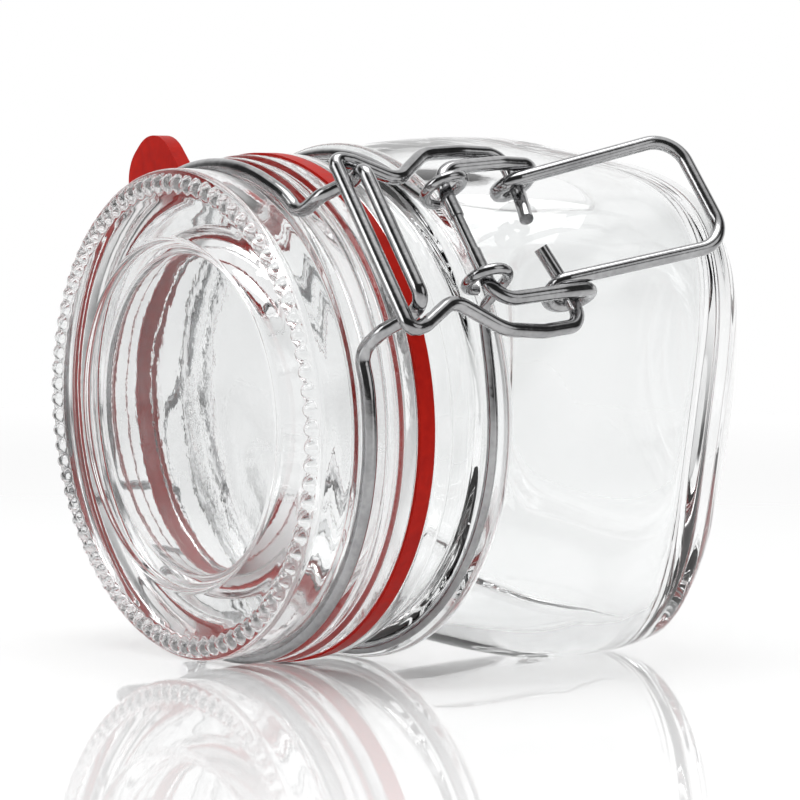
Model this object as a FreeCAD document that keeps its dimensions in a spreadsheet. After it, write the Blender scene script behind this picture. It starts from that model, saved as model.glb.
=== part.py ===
import FreeCAD, Part
import math
import os

# Square clip-top jar, lying on its side: glass body, glass lid, rubber ring and a wire clasp.
# It is drawn upright, base at z = 0, with the clasp on +X, and laid down at the end.

SIZES = {
    # glass body
    "body_half": 39.0,          # axis to the middle of a side
    "body_height": 67.8,        # base to the mouth's rim
    "base_inset": 11.8,         # how far the base's foot stands in from the side
    "base_round": 14.0,         # height of the rounding above the foot
    "shoulder_top": 54.3,       # where the square body has become the round neck
    "shoulder_inset": 4.85,     # the shoulder's circle is this much smaller than the body
    "shoulder_fade": 24.0,      # height over which that dies away
    "square_power": 4.8,        # power of the rounded square at mid height, 2 is a circle
    "base_power": 2.9,
    "body_turn": 45.0,          # the clasp stands over a corner of the body
    "wall": 3.2,
    "floor_wall": 5.0,
    "ridge_radius": 38.5,       # the ring that the neck wire sits above
    "ridge_level": 55.9,
    "neck_radius": 35.0,
    "flange_radius": 36.9,
    "flange_depth": 3.2,
    "bore_radius": 31.0,
    # rubber ring
    "seal_radius": 37.0,
    "seal_bore": 31.6,
    "seal_thick": 2.5,
    "seal_gap": 0.05,           # ring to rim, and ring to lid
    "tab_reach": 49.8,
    "tab_half": 6.6,
    "tab_root": 9.5,            # half the tab's width where it leaves the ring
    "tab_angle": 94.0,
    # lid, heights above its sealing face
    "lid_flange": 36.7,
    "lid_flange_depth": 2.5,
    "lid_bulge": 36.3,
    "lid_bulge_level": 4.3,
    "lid_groove_level": 7.0,
    "lid_top_radius": 34.8,
    "lid_top_foot": 9.4,
    "lid_height": 14.9,
    "lid_dish_radius": 24.4,
    "lid_dish": 0.5,
    "bead_ring": 32.7,
    "bead_radius": 1.15,
    "plug_radius": 30.2,
    "plug_depth": 2.0,
    "lid_hollow": 26.6,
    "lid_plate": 4.4,           # glass left above the hollow
    # clasp wires
    "wire": 1.0,                # radius of the lid wire, the lever and the link
    "neck_wire": 0.75,          # radius of the neck wire
    "seat_gap": 0.05,           # wire to the groove that it lies in
    "lid_wire_radius": 35.2,
    "neck_wire_radius": 37.0,
    "neck_wire_level": 57.7,
    "pin_out": 43.7,            # the lever's pin
    "pin_level": 61.1,
    "pin_half": 10.7,
    "pin_gap": 2.8,             # the lever's two ends stop here, on a thinner rod
    "rod": 0.8,
    "eye_side": 7.4,            # neck wire's eyes, round the pin
    "eye_turn": 2.9,
    "coil_out": 42.3,           # axis on which the link turns
    "coil_level": 46.3,
    "coil_side": 9.4,
    "coil_pitch": 2.4,
    "coil_turn": 2.85,
    "handle_out": 53.5,
    "handle_level": 23.9,
    "handle_half": 9.3,
    "cross_out": 42.3,          # the link's crossbar
    "cross_level": 76.2,
    "cross_half": 13.6,
    "jog_half": 9.6,
    "jog_level": 67.4,
    "link_half": 14.9,
    "link_tip": 2.4,
    "hook_out": 44.8,
    "hook_level": 74.3,
    "hook_half": 10.5,
    "hinge_level": 60.6,        # rear bar of the neck wire
    "hinge_half": 15.5,
    "hinge_legs": 8.2,          # the lid wire's legs and eyes
    "hinge_turn": 2.1,
    # how it lies
    "lie_tilt": 4.54,           # the axis climbs towards the base
    "lie_turn": 58.0,           # clasp from straight up, towards the front
    "lie_height": 37.22,        # floor to the axis at the sealing face
}

doc = FreeCAD.newDocument("ClipTopJar")
sheet = doc.addObject("Spreadsheet::Sheet", "Sizes")
for row, (alias, value) in enumerate(SIZES.items(), start=1):
    sheet.set("A%d" % row, alias)
    sheet.set("B%d" % row, str(value))
    sheet.setAlias("B%d" % row, alias)
doc.recompute()


def size(alias):
    return float(sheet.get(alias))


def vec(x, y, z):
    return FreeCAD.Vector(x, y, z)


def feature(name, shape):
    made = doc.addObject("Part::Feature", name)
    made.Shape = shape
    return made


def primitive(kind, name, bound, place=None):
    """A Part primitive whose sizes are bound to the sheet."""
    made = doc.addObject("Part::" + kind, name)
    for prop, text in bound.items():
        made.setExpression(prop, text)
    if place is not None:
        made.Placement = place
    return made


def boolean(kind, name, first, second):
    made = doc.addObject("Part::" + kind, name)
    made.Base = first
    made.Tool = second
    return made


def rounded_path(points, radius, closed=False):
    """Straight runs through the points, each corner rounded by a tangent arc.

    radius is one number, or one per point; an arc is held to what its runs leave room for.
    """
    count = len(points)
    radii = [radius] * count if isinstance(radius, (int, float)) else list(radius)
    corners = []
    for index, point in enumerate(points):
        if not closed and index in (0, count - 1):
            corners.append((point, None, point))
            continue
        back = points[index - 1] - point
        ahead = points[(index + 1) % count] - point
        half = (math.pi - back.getAngle(ahead)) / 2
        if half < 1e-4 or radii[index] <= 0:
            corners.append((point, None, point))
            continue
        room = 0.49 * min(back.Length, ahead.Length)
        reach = min(radii[index] * math.tan(half), room)
        start = point + back.normalize() * reach
        end = point + ahead.normalize() * reach
        middle = (back + ahead).normalize()
        bend = reach / math.tan(half)
        apex = point + middle * (bend / math.cos(half) - bend)
        corners.append((start, apex, end))
    edges = []
    pairs = range(count) if closed else range(count - 1)
    for index in range(count):
        start, apex, end = corners[index]
        if apex is not None:
            edges.append(Part.Arc(start, apex, end).toShape())
        if index in pairs:
            target = corners[(index + 1) % count][0]
            if end.distanceToPoint(target) > 1e-6:
                edges.append(Part.LineSegment(end, target).toShape())
    return Part.Wire(edges)


def wire_solid(points, bend, thick):
    """Round wire of radius thick bent along the points."""
    path = rounded_path(points, bend)
    along = (points[1] - points[0]).normalize()
    ring = Part.Wire([Part.makeCircle(thick, points[0], along)])
    return path.makePipeShell([ring], True, True)


def mirrored(points):
    """The points, then their mirror images across y = 0 in reverse."""
    return points + [vec(p.x, -p.y, p.z) for p in reversed(points)]


def turned(name, points, radius):
    """A profile (radius, height) turned about the jar's axis."""
    corners = [vec(r, 0, z) for r, z in points]
    profile = feature(name + "_profile", Part.Face(rounded_path(corners, radius, closed=True)))
    solid = doc.addObject("Part::Revolution", name)
    solid.Source = profile
    solid.Axis = vec(0, 0, 1)
    solid.Base = vec(0, 0, 0)
    solid.Angle = 360.0
    solid.Solid = True
    return solid


# ---- glass body -------------------------------------------------------------------------

def soft_square(half, power, level, turn):
    """Closed curve |x|^power + |y|^power = half^power, turned about the axis."""
    points = []
    steps = 32
    for step in range(steps):
        angle = 2 * math.pi * step / steps
        across, along = math.cos(angle), math.sin(angle)
        reach = half / (abs(across) ** power + abs(along) ** power) ** (1 / power)
        direction = angle + math.radians(turn)
        points.append(vec(reach * math.cos(direction), reach * math.sin(direction), level))
    curve = Part.BSplineCurve()
    curve.interpolate(Points=points, PeriodicFlag=True)
    return Part.Wire([curve.toShape()])


def smooth(t):
    """0 below 0, 1 above 1, an S between."""
    t = min(max(t, 0.0), 1.0)
    return t * t * (3 - 2 * t)


def body_power(level):
    """2 at the round shoulder, square_power at mid height, base_power at the base."""
    top_level = size("shoulder_top")
    rise = smooth((top_level - 1 - level) / (0.37 * top_level))
    fall = smooth((0.45 * top_level - level) / (0.45 * top_level))
    return (2 + (size("square_power") - 2) * rise
            + (size("base_power") - size("square_power")) * fall)


def body_half(level):
    """Half the width: rounded in at the foot, drawn in a little towards the shoulder."""
    low = max(0.0, 1 - level / size("base_round"))
    foot = size("base_inset") * (1 - (1 - low ** 1.3) ** (1 / 1.3))
    drawn = size("shoulder_inset") * math.exp((level - size("shoulder_top")) / size("shoulder_fade"))
    return size("body_half") - foot - drawn


def body_loft(name, levels, inset, foot_level):
    sections = []
    for index, level in enumerate(levels):
        half = body_half(max(level - foot_level, 0)) - inset
        if foot_level:
            half = min(half, body_half(level) - inset)
        wire = soft_square(half, body_power(level), level, size("body_turn"))
        sections.append(feature("%s_section_%d" % (name, index), wire))
    loft = doc.addObject("Part::Loft", name)
    loft.Sections = sections
    loft.Solid = True
    loft.Ruled = False
    return loft


top = size("shoulder_top")
foot = size("floor_wall")
rounding = [0, 0.035, 0.12, 0.25, 0.45, 0.7]
step_up = (top - size("base_round")) / 6
outer = body_loft("body_outer", [size("base_round") * part for part in rounding]
                  + [size("base_round") + step_up * k for k in range(7)], 0.0, 0.0)
inner_step = (top - foot - size("base_round")) / 5
inner = body_loft("body_inner", [foot + size("base_round") * part for part in rounding]
                  + [foot + size("base_round") + inner_step * k for k in range(6)], size("wall"), foot)

rim = size("body_height")
groove = size("neck_wire_radius") - size("neck_wire") - size("seat_gap")
ridge = size("ridge_level")
shoulder = size("body_half") - size("shoulder_inset")
neck = turned("neck", [
    (size("bore_radius") - 2, top - 2),
    (shoulder - 1.2, top - 2),
    (shoulder + 0.3, top + 0.1),
    (size("ridge_radius"), ridge - 0.7),
    (size("ridge_radius"), ridge + 0.6),
    (groove, size("neck_wire_level") - 0.9),
    (groove, size("neck_wire_level") + 0.8),
    (size("neck_radius"), size("neck_wire_level") + 2.2),
    (size("neck_radius"), rim - size("flange_depth") - 1.2),
    (size("flange_radius"), rim - size("flange_depth")),
    (size("flange_radius"), rim),
    (size("bore_radius") - 2, rim),
], [0, 0.4, 0.8, 0.6, 0.6, 0.3, 0.4, 0.8, 1.0, 0.9, 0.8, 0])
bore = primitive("Cylinder", "bore", {
    "Radius": "Sizes.bore_radius",
    "Height": "Sizes.body_height - Sizes.shoulder_top + 9",
}, FreeCAD.Placement(vec(0, 0, top - 5), FreeCAD.Rotation()))
glass = boolean("Fuse", "glass", outer, neck)
hollow = boolean("Fuse", "hollow", inner, bore)
jar = boolean("Cut", "jar", glass, hollow)

# ---- rubber ring ------------------------------------------------------------------------

seal_foot = rim + size("seal_gap")
seal_top = seal_foot + size("seal_thick")
tab_way = FreeCAD.Rotation(vec(0, 0, 1), size("tab_angle"))
ring_disc = primitive("Cylinder", "ring_disc", {
    "Radius": "Sizes.seal_radius",
    "Height": "Sizes.seal_thick",
}, FreeCAD.Placement(vec(0, 0, seal_foot), FreeCAD.Rotation()))
tab_face = Part.Face(rounded_path([
    vec(size("seal_radius") - 4, -size("tab_root"), 0),
    vec(size("seal_radius") + 1, -size("tab_half") - 0.6, 0),
    vec(size("tab_reach"), -size("tab_half"), 0),
    vec(size("tab_reach"), size("tab_half"), 0),
    vec(size("seal_radius") + 1, size("tab_half") + 0.6, 0),
    vec(size("seal_radius") - 4, size("tab_root"), 0),
], [0, 4.0, size("tab_half") - 0.2, size("tab_half") - 0.2, 4.0, 0], closed=True))
tab = feature("tab", tab_face.extrude(vec(0, 0, size("seal_thick"))))
tab.Placement = FreeCAD.Placement(vec(0, 0, seal_foot), tab_way)
ring_full = boolean("Fuse", "ring_full", ring_disc, tab)
ring_hole = primitive("Cylinder", "ring_hole", {
    "Radius": "Sizes.seal_bore",
    "Height": "Sizes.seal_thick + 2",
}, FreeCAD.Placement(vec(0, 0, seal_foot - 1), FreeCAD.Rotation()))
ring = boolean("Cut", "ring", ring_full, ring_hole)

# ---- lid --------------------------------------------------------------------------------

lid_face = seal_top + size("seat_gap")
lid_groove = size("lid_wire_radius") - size("wire") - size("seat_gap")
lid_wire_level = lid_face + size("lid_groove_level")
lid_top = lid_face + size("lid_height")
lid_disc = turned("lid_disc", [
    (0, lid_top - size("lid_plate") - size("lid_dish")),
    (size("lid_hollow") - 3.5, lid_top - size("lid_plate") - size("lid_dish")),
    (size("lid_hollow"), lid_face + 2),
    (size("lid_hollow"), lid_face - size("plug_depth")),
    (size("plug_radius"), lid_face - size("plug_depth")),
    (size("plug_radius"), lid_face),
    (size("lid_flange"), lid_face),
    (size("lid_flange"), lid_face + size("lid_flange_depth")),
    (size("lid_flange") - 0.9, lid_face + size("lid_flange_depth") + 0.3),
    (size("lid_bulge"), lid_face + size("lid_bulge_level") - 0.4),
    (size("lid_bulge"), lid_face + size("lid_bulge_level") + 0.8),
    (lid_groove, lid_wire_level - 0.9),
    (lid_groove, lid_wire_level + 0.9),
    (size("lid_top_radius"), lid_face + size("lid_top_foot")),
    (size("lid_top_radius"), lid_top),
    (size("bead_ring") - 1.6, lid_top),
    (size("bead_ring") - 2.4, lid_top - 0.4),
    (size("lid_dish_radius") + 0.4, lid_top - 0.4),
    (size("lid_dish_radius"), lid_top - size("lid_dish") - 0.3),
    (0, lid_top - size("lid_dish") - 0.3),
], [0, 3.0, 2.0, 0.8, 0.8, 0, 0.5, 0.6, 0.3, 1.0, 1.2, 0.7, 0.7, 0.5, 0.7, 0.3, 0.3, 0.1, 0.1, 0])
bead = primitive("Torus", "bead", {
    "Radius1": "Sizes.bead_ring",
    "Radius2": "Sizes.bead_radius",
}, FreeCAD.Placement(vec(0, 0, lid_top - 0.45), FreeCAD.Rotation()))
lid = boolean("Fuse", "lid_glass", lid_disc, bead)

# ---- wires ------------------------------------------------------------------------------

thick = size("wire")
thin = size("neck_wire")
tilt = math.radians(size("lie_tilt"))
turn_down = math.radians(size("lie_turn"))


def arc_points(radius, level, start, end, steps):
    """Corner points of a polygon round the jar, its sides touching the circle of that radius."""
    each = math.radians(end - start) / steps
    outer_radius = radius / math.cos(each / 2)
    points = []
    for step in range(steps):
        angle = math.radians(start) + each * (step + 0.5)
        points.append(vec(outer_radius * math.cos(angle), outer_radius * math.sin(angle), level))
    return points


def loop_points(out, level, side, radius, start, end, shift):
    """Corner points of a loop in an x-z plane about (out, level), moving by shift in y."""
    steps = max(2, round(abs(end - start) / 45))
    each = math.radians(end - start) / steps
    outer_radius = radius / math.cos(each / 2)
    points = []
    for step in range(steps):
        angle = math.radians(start) + each * (step + 0.5)
        y = side + shift * (step + 0.5) / steps
        points.append(vec(out + outer_radius * math.cos(angle), y, level + outer_radius * math.sin(angle)))
    return points


def circle_angle(radius, half):
    return math.degrees(math.asin(half / radius))


def bends(groups):
    """One radius per point from (count, radius) pairs, then the same mirrored."""
    half = [radius for count, radius in groups for _ in range(count)]
    return half + half[::-1]


# Neck wire: an eye at each side of the clasp, round the neck, and a rear bar for the lid's hinge.
# The rear bar's lower corner is the jar's third foot, so it stands out just far enough to touch.
neck_radius = size("neck_wire_radius")
neck_level = size("neck_wire_level")
pin_out, pin_level = size("pin_out"), size("pin_level")
bar_bend = 2.0
seal_to_bar = rim + size("seal_thick") + size("seal_gap") - size("hinge_level")
drop = (size("lie_height") + seal_to_bar * math.sin(tilt) - thin) / math.cos(tilt)
down_out, down_side = math.cos(turn_down), math.sin(turn_down)
eye_points = loop_points(pin_out, pin_level, size("eye_side") - 0.5, size("eye_turn"), 210, -90, 0.9)
neck_half = eye_points + [vec(neck_radius + 1.3, size("eye_side") + 0.9, pin_level - size("eye_turn") + 0.3)]
neck_arc = arc_points(neck_radius, neck_level, circle_angle(neck_radius, 12.5),
                      180 - circle_angle(neck_radius, size("hinge_half") + 5.0), 12)
hinge_out = neck_radius + 8
for _ in range(6):
    leg = vec(-neck_arc[-1].x - hinge_out, neck_arc[-1].y - size("hinge_half"), 0).normalize()
    half_angle = leg.getAngle(vec(0, -1, 0)) / 2
    centre = vec(hinge_out, size("hinge_half"), 0) + (leg + vec(0, -1, 0)).normalize() * (
        bar_bend / math.sin(half_angle))
    reached = centre.x * down_out + centre.y * down_side + bar_bend
    hinge_out += (drop - reached) / down_out
neck_half += neck_arc
neck_half.append(vec(-hinge_out, size("hinge_half"), size("hinge_level")))
neck_wire = feature("neck_wire", wire_solid(mirrored(neck_half), bends([
    (len(eye_points), size("eye_turn")), (1, 2.6), (12, neck_radius), (1, bar_bend)]), thin))

# Lid wire: in the lid's groove, a hook in front that the link holds, and two rear eyes.
lid_radius = size("lid_wire_radius")
kink = circle_angle(lid_radius, size("hook_half") + 0.4)
lid_half = [
    vec(size("hook_out"), size("hook_half") - 0.2, size("hook_level")),
    vec(size("cross_out") - 0.6, size("hook_half"), size("cross_level") - 2.6),
    vec(lid_radius + 2.4, size("hook_half") + 0.3, lid_wire_level - 0.6),
    vec(math.cos(math.radians(kink)) * lid_radius - 0.4, size("hook_half") + 0.5, lid_wire_level),
]
lid_half += arc_points(lid_radius, lid_wire_level, kink + 1,
                       180 - circle_angle(lid_radius, size("hinge_legs")), 12)
lid_half.append(vec(2 + size("hinge_turn") - hinge_out, size("hinge_legs"), lid_wire_level))
lid_eye = loop_points(-hinge_out, size("hinge_level"), size("hinge_legs") + 0.1, size("hinge_turn"),
                      0, -250, 0.0)
lid_half += lid_eye
# It starts and ends at the rear, so the list is turned round.
lid_wire = feature("lid_wire", wire_solid(mirrored(lid_half[::-1]), bends([
    (len(lid_eye), size("hinge_turn")), (1, 3.0), (12, lid_radius), (1, 3.0), (1, 3.0), (1, 2.2), (1, 1.7)]),
    thick))

# Lever: its two ends meet on a thin rod between the eyes, then a coil at each side, and the handle.
coil_out, coil_level = size("coil_out"), size("coil_level")
coil_points = loop_points(coil_out, coil_level, size("coil_side") + size("coil_pitch") / 2,
                          size("coil_turn"), 0, -333, -size("coil_pitch"))
lever_half = [
    vec(pin_out, size("pin_gap"), pin_level),
    vec(pin_out, size("pin_half"), pin_level),
    vec(coil_out + size("coil_turn"), size("pin_half"), coil_level + 4.0),
] + coil_points + [vec(size("handle_out"), size("handle_half"), size("handle_level"))]
lever_wire = feature("lever_wire", wire_solid(mirrored(lever_half), bends([
    (1, 0), (1, 3.4), (1, 6.0), (len(coil_points), size("coil_turn")), (1, 4.4)]), thick))
rod = primitive("Cylinder", "rod", {
    "Radius": "Sizes.rod",
    "Height": "2 * Sizes.pin_gap + 2",
}, FreeCAD.Placement(vec(pin_out, size("pin_gap") + 1, pin_level), FreeCAD.Rotation(vec(1, 0, 0), 90)))

# Link: crossbar held by the hook, arms that step in and out past the eyes, ends in the coils.
link_half = [
    vec(coil_out + 1.1, size("link_tip"), coil_level + 2.2),
    vec(coil_out, size("coil_side") - 1.6, coil_level),
    vec(coil_out, size("link_half") - 0.5, coil_level),
    vec(coil_out - 0.2, size("link_half"), coil_level + 7.5),
    vec(coil_out, size("link_half") - 0.6, pin_level - 0.6),
    vec(size("cross_out") + 0.4, size("jog_half"), size("jog_level")),
    vec(size("cross_out") + 0.1, size("cross_half") - 0.7, size("cross_level") - 2.8),
    vec(size("cross_out"), size("cross_half"), size("cross_level")),
]
link = feature("link", wire_solid(mirrored(link_half), bends([
    (1, 0), (1, 3.0), (1, 3.0), (1, 8.0), (1, 6.0), (1, 3.0), (1, 2.0), (1, 2.2)]), thick))

# ---- laid down --------------------------------------------------------------------------

tip = FreeCAD.Rotation(vec(0, 1, 0), -(90 + size("lie_tilt")))
roll = FreeCAD.Rotation(vec(0, 0, 1), -size("lie_turn"))
turn = tip.multiply(roll)
seal_at = turn.multVec(vec(0, 0, seal_top))
origin = vec(-seal_at.x, 0, size("lie_height") - seal_at.z)
middle = (lid_top - 2 * seal_top) / 2 * math.cos(tilt)
laid = FreeCAD.Placement(origin + vec(middle, 0, 0), turn)

# The glass and the ring are ground flat where they meet the floor.
below = doc.addObject("Part::Box", "below")
below.Length, below.Width, below.Height = 240, 240, 40
below.Placement = laid.inverse().multiply(FreeCAD.Placement(vec(-120, -120, -40), FreeCAD.Rotation()))

doc.recompute()

nodes = {
    "jar_body": boolean("Cut", "jar_body", jar, below),
    "seal_ring": boolean("Cut", "seal_ring", ring, below),
    "lid": boolean("Cut", "lid", lid, below),
    "lid_wire": lid_wire,
    "neck_wire": neck_wire,
    "lever": boolean("Fuse", "lever", lever_wire, rod),
    "link": link,
}
for label, node in nodes.items():
    node.Label = label
    node.Placement = laid
doc.recompute()

# The origin goes under the middle of the whole.
boxes = [node.Shape.optimalBoundingBox(False, False) for node in nodes.values()]
shift = vec(-(min(b.XMin for b in boxes) + max(b.XMax for b in boxes)) / 2,
            -(min(b.YMin for b in boxes) + max(b.YMax for b in boxes)) / 2, 0)
laid = FreeCAD.Placement(laid.Base + shift, turn)
for node in nodes.values():
    node.Placement = laid
doc.recompute()

for item in doc.Objects:
    if "Invalid" in item.State or "Error" in item.State:
        raise SystemExit("%s failed to build" % item.Name)

os.makedirs("parts", exist_ok=True)
for label, node in nodes.items():
    shape = node.Shape
    if shape.isNull() or not shape.isValid() or len(shape.Solids) != 1:
        raise SystemExit("%s is not one valid solid (%d solids, valid %s)"
                         % (label, len(shape.Solids), shape.isValid()))
    shape.exportStep("parts/%s.step" % label)
    box = shape.BoundBox
    print("%-13s volume %9.1f  x %7.2f %7.2f  y %7.2f %7.2f  z %7.2f %7.2f" % (
        label, shape.Volume, box.XMin, box.XMax, box.YMin, box.YMax, box.ZMin, box.ZMax))


def world(x, y, z):
    return laid.multVec(vec(x, y, z))


def show(name, point):
    print("%s %.6f %.6f %.6f" % (name, point.x, point.y, point.z))


show("lever axis", world(pin_out, 0, pin_level))
show("link axis", world(coil_out, 0, coil_level))
show("hinge bar", world(-hinge_out, 0, size("hinge_level")))
show("direction of the axes", turn.multVec(vec(0, 1, 0)))
show("up the jar", turn.multVec(vec(0, 0, 1)))
show("towards the clasp", turn.multVec(vec(1, 0, 0)))
show("base middle", world(0, 0, 0))
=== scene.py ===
import math
import bpy
import numpy as np
from mathutils import Matrix, Vector


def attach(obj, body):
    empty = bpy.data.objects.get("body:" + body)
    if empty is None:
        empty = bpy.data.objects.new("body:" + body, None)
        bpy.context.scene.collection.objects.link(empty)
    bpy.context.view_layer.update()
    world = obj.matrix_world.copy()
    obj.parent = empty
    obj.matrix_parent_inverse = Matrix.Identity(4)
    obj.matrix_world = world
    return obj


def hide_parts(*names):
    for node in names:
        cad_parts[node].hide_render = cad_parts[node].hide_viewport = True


# Square clip-top jar, lying on its side on a glossy pale floor.
# Sizes are in millimetres in the jar's own frame: base at level 0, clasp towards +x, axis +z.

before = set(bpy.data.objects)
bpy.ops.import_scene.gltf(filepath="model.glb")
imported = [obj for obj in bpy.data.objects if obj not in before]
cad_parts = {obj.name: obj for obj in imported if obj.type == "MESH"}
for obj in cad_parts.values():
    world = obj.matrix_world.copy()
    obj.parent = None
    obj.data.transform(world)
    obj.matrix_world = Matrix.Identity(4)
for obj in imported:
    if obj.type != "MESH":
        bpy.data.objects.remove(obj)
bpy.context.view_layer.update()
print("frame loaded")

# camera: level with the jar, long lens
camera = bpy.data.objects.new("camera", bpy.data.cameras.new("camera"))
bpy.context.scene.collection.objects.link(camera)
shot = {
    "place": (-0.19379, -0.23830, 0.03951),
    "right": Vector((0.77859, -0.62742, 0.01172)),
    "up": Vector((-0.00743, 0.00946, 0.99993)),
    "lens": 90,
    "sensor": 36,
    "near": 0.01,
    "far": 20,
    "passes": 28,        # thick glass needs many before light gets out again
    "reflections": 12,
}
shotBack = shot["right"].cross(shot["up"]).normalized()
shotTurn = Matrix((shot["right"], shot["up"], shotBack)).transposed()
camera.matrix_world = Matrix.Translation(shot["place"]) @ shotTurn.to_4x4()
camera.data.lens = shot["lens"]
camera.data.sensor_width = shot["sensor"]
camera.data.clip_start = shot["near"]
camera.data.clip_end = shot["far"]
bpy.context.scene.camera = camera
bpy.context.scene.view_settings.view_transform = "Standard"
bpy.context.scene.cycles.max_bounces = shot["passes"]
bpy.context.scene.cycles.transmission_bounces = shot["passes"]
bpy.context.scene.cycles.glossy_bounces = shot["reflections"]
print("camera placed")


# shape helpers
lying = {
    "base": np.array((43.060887, 1.339523, 42.788558)),
    "axes": np.array((
        (-0.041946, -0.848048, 0.528257),
        (-0.067127, 0.529919, 0.845387),
        (-0.996862, 0.0, -0.079155),
    )),
    "floor": 0.02,
}


def laidDown(points):
    # place = base + x X + y Y + z Z, then millimetres to metres
    placed = lying["base"] + points @ lying["axes"]
    placed[..., 2] = np.maximum(placed[..., 2], lying["floor"])
    return placed / 1000


def smooth(t):
    # t * t * (3 - 2 t), from 0 to 1
    t = np.clip(t, 0, 1)
    return t * t * (3 - 2 * t)


def rounded(corners, cut, steps=5):
    # each inner corner becomes a quadratic curve from one cut before it to one cut after it
    corners = np.asarray(corners, float)
    before = corners[:-2] - corners[1:-1]
    after = corners[2:] - corners[1:-1]
    reachBefore = np.minimum(cut / np.linalg.norm(before, axis=1), 0.45)[:, None]
    reachAfter = np.minimum(cut / np.linalg.norm(after, axis=1), 0.45)[:, None]
    start = corners[1:-1] + before * reachBefore
    end = corners[1:-1] + after * reachAfter
    t = np.linspace(0, 1, steps)[None, :, None]
    curve = (start[:, None] * (1 - t) ** 2 + 2 * corners[1:-1, None] * t * (1 - t)
             + end[:, None] * t ** 2)
    return np.vstack((corners[:1], curve.reshape(-1, 2), corners[-1:]))


def filled(line, step):
    # points along a line no further apart than step
    line = np.asarray(line, float)
    runs = np.linalg.norm(np.diff(line, axis=0), axis=1)
    travelled = np.concatenate(([0], np.cumsum(runs)))
    extra = np.arange(0, travelled[-1], step)
    wanted = np.unique(np.round(np.concatenate((travelled, extra)), 4))
    keep = np.concatenate(([True], np.diff(wanted) > step * 0.12))
    wanted = wanted[keep]
    return np.stack([np.interp(wanted, travelled, line[:, k]) for k in range(line.shape[1])], 1)


def closedShell(name, first, rows, last):
    # rows: (n rows, m round, 3), closed at both ends by one point each
    count, around = rows.shape[:2]
    points = np.vstack((first[None], rows.reshape(-1, 3), last[None]))
    r, c = np.meshgrid(np.arange(count - 1), np.arange(around), indexing="ij")
    here = 1 + r * around + c
    beside = 1 + r * around + (c + 1) % around
    quads = np.stack((here, beside, beside + around, here + around), -1).reshape(-1, 4)
    ring = np.arange(around)
    firstFan = np.stack((np.zeros(around, int), 1 + (ring + 1) % around, 1 + ring), 1)
    foot = 1 + (count - 1) * around
    lastFan = np.stack((np.full(around, len(points) - 1), foot + ring, foot + (ring + 1) % around), 1)
    mesh = bpy.data.meshes.new(name)
    faces = quads.tolist() + firstFan.tolist() + lastFan.tolist()
    mesh.from_pydata(laidDown(points).tolist(), [], faces)
    mesh.polygons.foreach_set("use_smooth", np.ones(len(faces), bool))
    mesh.update()
    piece = bpy.data.objects.new(name, mesh)
    bpy.context.scene.collection.objects.link(piece)
    return piece


# node helpers
def nodeMaterial(name):
    material = bpy.data.materials.new(name)
    material.use_nodes = True
    material.node_tree.nodes.clear()
    return material, material.node_tree.nodes, material.node_tree.links


def mottleGroup():
    # soft cloudy variation: a coarse noise plus a finer one, around 0.5
    group = bpy.data.node_groups.new("mottle", "ShaderNodeTree")
    group.interface.new_socket("Vector", in_out="INPUT", socket_type="NodeSocketVector")
    scale = group.interface.new_socket("Scale", in_out="INPUT", socket_type="NodeSocketFloat")
    scale.default_value = 40
    fine = group.interface.new_socket("Fine", in_out="INPUT", socket_type="NodeSocketFloat")
    fine.default_value = 0.3
    group.interface.new_socket("Value", in_out="OUTPUT", socket_type="NodeSocketFloat")
    nodes, links = group.nodes, group.links
    entry = nodes.new("NodeGroupInput")
    leave = nodes.new("NodeGroupOutput")
    coarse = nodes.new("ShaderNodeTexNoise")
    coarse.inputs["Detail"].default_value = 2
    links.new(entry.outputs["Vector"], coarse.inputs["Vector"])
    links.new(entry.outputs["Scale"], coarse.inputs["Scale"])
    more = nodes.new("ShaderNodeMath")
    more.operation = "MULTIPLY"
    more.inputs[1].default_value = 9
    links.new(entry.outputs["Scale"], more.inputs[0])
    close = nodes.new("ShaderNodeTexNoise")
    close.inputs["Detail"].default_value = 3
    links.new(entry.outputs["Vector"], close.inputs["Vector"])
    links.new(more.outputs[0], close.inputs["Scale"])
    blend = nodes.new("ShaderNodeMix")
    links.new(entry.outputs["Fine"], blend.inputs["Factor"])
    links.new(coarse.outputs["Fac"], blend.inputs["A"])
    links.new(close.outputs["Fac"], blend.inputs["B"])
    links.new(blend.outputs["Result"], leave.inputs["Value"])
    return group


mottle = mottleGroup()


def addMottle(nodes, links, scale, fine):
    # the mottle group on the piece's own coordinates
    place = nodes.new("ShaderNodeTexCoord")
    cloud = nodes.new("ShaderNodeGroup")
    cloud.node_tree = mottle
    cloud.inputs["Scale"].default_value = scale
    cloud.inputs["Fine"].default_value = fine
    links.new(place.outputs["Object"], cloud.inputs["Vector"])
    return cloud.outputs["Value"]


def addRange(nodes, links, value, low, high):
    # noise from 0.3 to 0.7 spread over low to high
    span = nodes.new("ShaderNodeMapRange")
    span.inputs["From Min"].default_value = 0.3
    span.inputs["From Max"].default_value = 0.7
    span.inputs["To Min"].default_value = low
    span.inputs["To Max"].default_value = high
    links.new(value, span.inputs["Value"])
    return span.outputs["Result"]


def addBump(nodes, links, value, distance):
    # height = value * distance, in metres
    bump = nodes.new("ShaderNodeBump")
    bump.inputs["Distance"].default_value = distance
    bump.inputs["Strength"].default_value = 1
    links.new(value, bump.inputs["Height"])
    return bump.outputs["Normal"]


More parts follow.
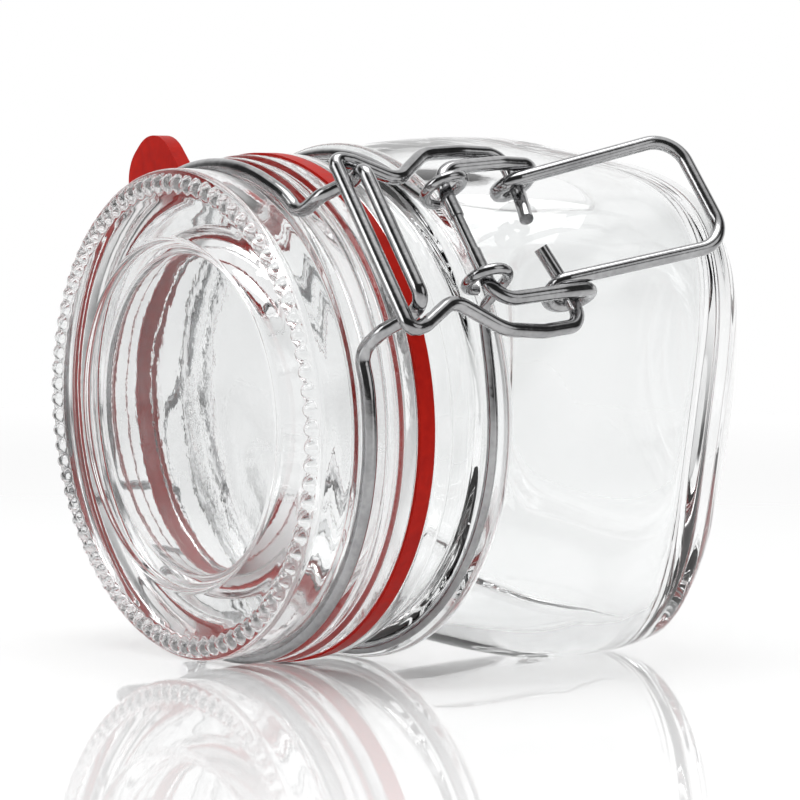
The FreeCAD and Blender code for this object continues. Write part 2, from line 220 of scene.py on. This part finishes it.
def cloudySkin(name, look):
    # one noise drives colour (dark to light), roughness (smoothest to dullest) and bump (wave)
    material, nodes, links = nodeMaterial(name)
    out = nodes.new("ShaderNodeOutputMaterial")
    skin = nodes.new("ShaderNodeBsdfPrincipled")
    links.new(skin.outputs[0], out.inputs["Surface"])
    cloud = addMottle(nodes, links, look["scale"], look["fine"])
    tone = nodes.new("ShaderNodeMix")
    tone.data_type = "RGBA"
    tone.inputs["A"].default_value = look["dark"]
    tone.inputs["B"].default_value = look["light"]
    links.new(addRange(nodes, links, cloud, look["least"], 1), tone.inputs["Factor"])
    links.new(tone.outputs["Result"], skin.inputs["Base Color"])
    links.new(addRange(nodes, links, cloud, look["smoothest"], look["dullest"]), skin.inputs["Roughness"])
    links.new(addBump(nodes, links, cloud, look["wave"]), skin.inputs["Normal"])
    return material, nodes, links, skin


def glassMaterial(name, look):
    material, nodes, links, glass = cloudySkin(name, look)
    glass.inputs["Metallic"].default_value = 0
    glass.inputs["Transmission Weight"].default_value = 1
    glass.inputs["IOR"].default_value = look["index"]
    # most light passes on to the floor, so that the shadow stays soft
    path = nodes.new("ShaderNodeLightPath")
    shade = nodes.new("ShaderNodeMath")
    shade.operation = "MULTIPLY_ADD"
    shade.inputs[1].default_value = -look["clear"]
    shade.inputs[2].default_value = 1
    links.new(path.outputs["Is Shadow Ray"], shade.inputs[0])
    links.new(shade.outputs[0], glass.inputs["Alpha"])
    return material


# glass body: rounded square below, round neck above
body = {
    "half": 39.0,
    "inset": 11.8,
    "round": 14.0,
    "shoulder": 54.3,
    "shoulderInset": 4.85,
    "fade": 24.0,
    "power": 4.8,
    "basePower": 2.9,
    "wall": 3.2,
    "floorWall": 5.0,
    "bore": 31.0,
    "around": 336,
    "neck": (
        (34.15, 54.3), (38.5, 55.2), (38.5, 56.5), (36.2, 56.8), (36.2, 58.5), (35.0, 59.9),
        (35.0, 63.4), (36.9, 64.6), (36.9, 67.8), (31.0, 67.8), (31.0, 54.3),
    ),
    "neckRound": 0.55,
    "neckStep": 0.6,
    "recess": 0.8,
    "footCurve": 1.3,
    "sideRise": 0.37,    # shares of the shoulder's level
    "baseRise": 0.45,
    "openOut": 40,       # the bore widens this much over openOver below the shoulder
    "openOver": 30,
    "glass": {
        "scale": 22, "fine": 0.05, "least": 0, "index": 1.5,
        "dark": (0.945, 0.953, 0.953, 1), "light": (0.978, 0.983, 0.983, 1),
        "smoothest": 0.0, "dullest": 0.015, "wave": 0.00012, "clear": 0.8,
    },
}
rings = {"low": 26, "side": 44, "under": 14, "inside": 40, "insideLow": 22, "floor": 12}


def bodyHalf(level):
    # half = side - foot - shoulder; foot rounds off the lowest part, shoulder dies away downwards
    low = np.clip(1 - level / body["round"], 0, 1)
    curve = body["footCurve"]
    foot = body["inset"] * (1 - (1 - low ** curve) ** (1 / curve))
    return body["half"] - foot - body["shoulderInset"] * np.exp((level - body["shoulder"]) / body["fade"])


def bodyPower(level):
    # power = 2 at the shoulder, 4.8 along the sides and 2.9 at the base
    top = body["shoulder"]
    side = (body["power"] - 2) * smooth((top - 1 - level) / (body["sideRise"] * top))
    lowest = body["baseRise"] * top
    return 2 + side - (body["power"] - body["basePower"]) * smooth((lowest - level) / lowest)


def squareRing(half, power, level, around):
    # radius = half / (|cos|^power + |sin|^power)^(1/power), faces at 45 degrees to the clasp
    turn = np.linspace(0, 2 * math.pi, around, endpoint=False)[None]
    half, power, level = (np.asarray(v, float)[:, None] for v in (half, power, level))
    face = turn - math.pi / 4
    radius = half / (np.abs(np.cos(face)) ** power + np.abs(np.sin(face)) ** power) ** (1 / power)
    return np.stack((radius * np.cos(turn), radius * np.sin(turn), level + 0 * turn), -1)


around = body["around"]
lowLevels = body["round"] * (1 - np.cos(np.linspace(0, math.pi / 2, rings["low"])))
highLevels = np.linspace(body["round"], body["shoulder"], rings["side"])[1:-1]
sideLevels = np.concatenate((lowLevels, highLevels))
outerRows = squareRing(bodyHalf(sideLevels), bodyPower(sideLevels), sideLevels, around)
# underside: rings from the middle to the foot, pushed up a little inside a narrow stand
inward = np.linspace(0.12, 0.97, rings["under"])
stand = smooth((0.93 - inward) / 0.12)
underPower = np.full(rings["under"], float(bodyPower(0.0)))
underHalf = bodyHalf(np.zeros(rings["under"])) * inward
underRows = squareRing(underHalf, underPower, body["recess"] * stand, around)
neckLine = filled(rounded(body["neck"], body["neckRound"]), body["neckStep"])
neckRows = squareRing(neckLine[:, 0], np.full(len(neckLine), 2.0), neckLine[:, 1], around)
# inside: half = the outside's half there, or a floor's thickness lower, less the wall
curveTurn = np.linspace(math.pi / 2, 0, rings["insideLow"])[1:]
innerLevels = np.concatenate((
    np.linspace(body["shoulder"], body["round"] + body["floorWall"], rings["inside"])[1:],
    body["floorWall"] + body["round"] * (1 - np.cos(curveTurn)),
))
innerHalf = np.minimum(bodyHalf(innerLevels - body["floorWall"]), bodyHalf(innerLevels)) - body["wall"]
belowShoulder = (body["shoulder"] - innerLevels) / body["openOver"]
innerHalf = np.minimum(innerHalf, body["bore"] + body["openOut"] * smooth(belowShoulder))
innerRows = squareRing(innerHalf, bodyPower(innerLevels), innerLevels, around)
floorHalf = innerHalf[-1] * np.linspace(0.94, 0.1, rings["floor"])
floorPower = np.full(rings["floor"], float(bodyPower(body["floorWall"])))
floorRows = squareRing(floorHalf, floorPower, np.full(rings["floor"], body["floorWall"]), around)
jarRows = np.concatenate((underRows, outerRows, neckRows, innerRows, floorRows))
jarBody = closedShell("jarBody", np.array((0, 0, body["recess"])), jarRows,
                      np.array((0, 0, body["floorWall"])))
jarBody.data.materials.append(glassMaterial("bodyGlass", body["glass"]))
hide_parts("jar_body")
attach(jarBody, "jar")
print("glass body made")

# glass lid, heights above its sealing face
lid = {
    "face": 70.40,
    "beads": 85,
    "perBead": 8,
    "beadRing": 32.7,
    "beadRadius": 1.15,
    "top": (
        (24.4, 14.1), (24.9, 14.5), (30.6, 14.5), (31.2, 14.45), (34.4, 14.45), (34.8, 14.0),
        (34.8, 9.4), (34.15, 7.9), (34.15, 6.1), (36.3, 5.1), (36.3, 3.9), (35.8, 2.8), (36.7, 2.5),
        (36.7, 0.0), (36.2, 0.0), (30.2, 1.6), (30.2, -2.0), (26.6, -2.0), (26.6, 2.0),
        (23.1, 10.0), (15.0, 10.0),
    ),
    "round": 0.35,
    "step": 1.1,
    "beadBand": (31.3, 34.1),       # the profile is replaced by beadRows rings here
    "beadRows": (31.4, 34.0, 13),
    "rim": 14.45,
    "dish": (2.4, 23.6, 10),        # first radius, last radius, rings
    "dishLevel": 14.1,
    "topFace": 14.3,                # beads stand only above this level
    "hollow": (13.5, 1.5, 6),
    "hollowLevel": 10.0,
    "glass": {
        "scale": 60, "fine": 0.1, "least": 0, "index": 1.5,
        "dark": (0.89, 0.896, 0.898, 1), "light": (0.95, 0.954, 0.955, 1),
        "smoothest": 0.0, "dullest": 0.02, "wave": 0.00012, "clear": 0.75,
    },
}


def flatRings(span, level):
    # rings at one level, from the first radius to the last
    radii = np.linspace(*span)
    return np.stack((radii, np.full(len(radii), level)), 1)


lidLine = filled(rounded(lid["top"], lid["round"], 4), lid["step"])
before, after = (np.argmax(lidLine[:, 0] > edge) for edge in lid["beadBand"])
lidLine = np.vstack((
    flatRings(lid["dish"], lid["dishLevel"]), lidLine[:before], flatRings(lid["beadRows"], lid["rim"]),
    lidLine[after:], flatRings(lid["hollow"], lid["hollowLevel"]),
))
lidTurn = np.linspace(0, 2 * math.pi, lid["beads"] * lid["perBead"], endpoint=False)[None]
lidRadius = lidLine[:, :1] + 0 * lidTurn
# bead height = sqrt(radius^2 - across^2 - along^2), added only on the top face
across = lidRadius - lid["beadRing"]
pitch = 2 * math.pi / lid["beads"]
along = (np.mod(lidTurn + pitch / 2, pitch) - pitch / 2) * lid["beadRing"]
dome = np.sqrt(np.clip(lid["beadRadius"] ** 2 - across ** 2 - along ** 2, 0, None))
lidLevel = lidLine[:, 1:] + np.where(lidLine[:, 1:] > lid["topFace"], dome, 0)
lidRows = np.stack((lidRadius * np.cos(lidTurn), lidRadius * np.sin(lidTurn),
                    lid["face"] + lidLevel), -1)
glassLid = closedShell("glassLid", np.array((0, 0, lid["face"] + lid["hollowLevel"])), lidRows[::-1],
                       np.array((0, 0, lid["face"] + lid["dishLevel"])))
glassLid.data.materials.append(glassMaterial("lidGlass", lid["glass"]))
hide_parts("lid")
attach(glassLid, "jar")
print("glass lid made")

# rubber ring and steel wires keep their own meshes
rubber = {
    "scale": 90, "fine": 0.55, "least": 0.2,
    "dark": (0.30, 0.002, 0.001, 1), "light": (0.50, 0.010, 0.003, 1),
    "smoothest": 0.36, "dullest": 0.52, "wave": 0.00006, "shine": 0.12,
}
material, nodes, links, skin = cloudySkin("rubberRing", rubber)
skin.inputs["Specular IOR Level"].default_value = rubber["shine"]
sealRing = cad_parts["seal_ring"]
sealRing.data.materials.clear()
sealRing.data.materials.append(material)
print("rubber ring finished")

steel = {
    "scale": 160, "fine": 0.4, "least": 0,
    "dark": (0.26, 0.26, 0.265, 1), "light": (0.47, 0.47, 0.475, 1),
    "smoothest": 0.08, "dullest": 0.17, "wave": 0.00003,
}
material, nodes, links, skin = cloudySkin("polishedSteel", steel)
skin.inputs["Metallic"].default_value = 1
for wire in ("neck_wire", "lid_wire", "lever", "link"):
    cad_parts[wire].data.materials.clear()
    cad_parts[wire].data.materials.append(material)
print("wires finished")

# floor, room and lamps
ground = {"reach": 4, "colour": (0.94, 0.94, 0.94, 1), "dull": 0.03, "index": 1.45}
reach = ground["reach"]
floorMesh = bpy.data.meshes.new("floor")
floorCorners = [(-reach, -reach, 0), (reach, -reach, 0), (reach, reach, 0), (-reach, reach, 0)]
floorMesh.from_pydata(floorCorners, [], [(0, 1, 2, 3)])
floor = bpy.data.objects.new("floor", floorMesh)
bpy.context.scene.collection.objects.link(floor)
material, nodes, links = nodeMaterial("floor")
out = nodes.new("ShaderNodeOutputMaterial")
skin = nodes.new("ShaderNodeBsdfPrincipled")
links.new(skin.outputs[0], out.inputs["Surface"])
skin.inputs["Base Color"].default_value = ground["colour"]
skin.inputs["Roughness"].default_value = ground["dull"]
skin.inputs["IOR"].default_value = ground["index"]
floorMesh.materials.append(material)

# level directions as the camera sees them: towards it, and to its right
back = Vector((-0.6275, -0.7786, 0.0))
right = Vector((0.7786, -0.6275, 0.0))
up = Vector((0, 0, 1))

world = bpy.data.worlds.new("room")
bpy.context.scene.world = world
world.use_nodes = True
nodes, links = world.node_tree.nodes, world.node_tree.links
nodes.clear()
out = nodes.new("ShaderNodeOutputWorld")
sky = nodes.new("ShaderNodeBackground")
sky.inputs["Color"].default_value = (1, 1, 1, 1)
links.new(sky.outputs[0], out.inputs["Surface"])
place = nodes.new("ShaderNodeTexCoord")
# what glass and steel see: a dim room with soft-edged bright areas, each direction and its two edges
room = {
    "dim": 0.04,
    "plain": 0.72,       # what lights everything else
    "bright": (
        (-back, 0.20, 0.62, 1.0),
        (up, 0.72, 0.84, 1.0),
        ((-right + back * 0.35).normalized(), 0.90, 0.95, 1.0),
        ((right + back * 0.6 + up * 0.4).normalized(), 0.93, 0.97, 1.0),
    ),
}
total = None
for direction, low, high, glow in room["bright"]:
    along = nodes.new("ShaderNodeVectorMath")
    along.operation = "DOT_PRODUCT"
    along.inputs[1].default_value = direction
    links.new(place.outputs["Object"], along.inputs[0])
    area = nodes.new("ShaderNodeMapRange")
    area.interpolation_type = "SMOOTHSTEP"
    area.inputs["From Min"].default_value = low
    area.inputs["From Max"].default_value = high
    area.inputs["To Min"].default_value = room["dim"]
    area.inputs["To Max"].default_value = glow
    links.new(along.outputs["Value"], area.inputs["Value"])
    if total is None:
        total = area.outputs["Result"]
        continue
    more = nodes.new("ShaderNodeMath")
    more.operation = "MAXIMUM"
    links.new(total, more.inputs[0])
    links.new(area.outputs["Result"], more.inputs[1])
    total = more.outputs[0]
path = nodes.new("ShaderNodeLightPath")
shiny = nodes.new("ShaderNodeMath")
shiny.operation = "MAXIMUM"
links.new(path.outputs["Is Glossy Ray"], shiny.inputs[0])
links.new(path.outputs["Is Transmission Ray"], shiny.inputs[1])
roomOrPlain = nodes.new("ShaderNodeMix")
roomOrPlain.inputs["A"].default_value = room["plain"]
links.new(shiny.outputs[0], roomOrPlain.inputs["Factor"])
links.new(total, roomOrPlain.inputs["B"])
backdrop = nodes.new("ShaderNodeMix")
backdrop.inputs["B"].default_value = 1
links.new(path.outputs["Is Camera Ray"], backdrop.inputs["Factor"])
links.new(roomOrPlain.outputs["Result"], backdrop.inputs["A"])
links.new(backdrop.outputs["Result"], sky.inputs["Strength"])


lamps = {
    # name: size, place, what it points at, watts
    "topLight": ((0.5, 0.5), up * 0.75 + back * 0.1, Vector((0, 0, 0)), 2.5),
    "leftLight": ((0.3, 0.5), right * -0.6 + back * 0.35 + up * 0.35, up * 0.04, 1.2),
}
for name, (lampSize, lampPlace, target, watts) in lamps.items():
    light = bpy.data.lights.new(name, "AREA")
    light.shape = "RECTANGLE"
    light.size, light.size_y = lampSize
    light.energy = watts
    holder = bpy.data.objects.new(name, light)
    bpy.context.scene.collection.objects.link(holder)
    aim = (target - lampPlace).to_track_quat("-Z", "Y").to_matrix().to_4x4()
    holder.matrix_world = Matrix.Translation(lampPlace) @ aim
print("stage and light set")
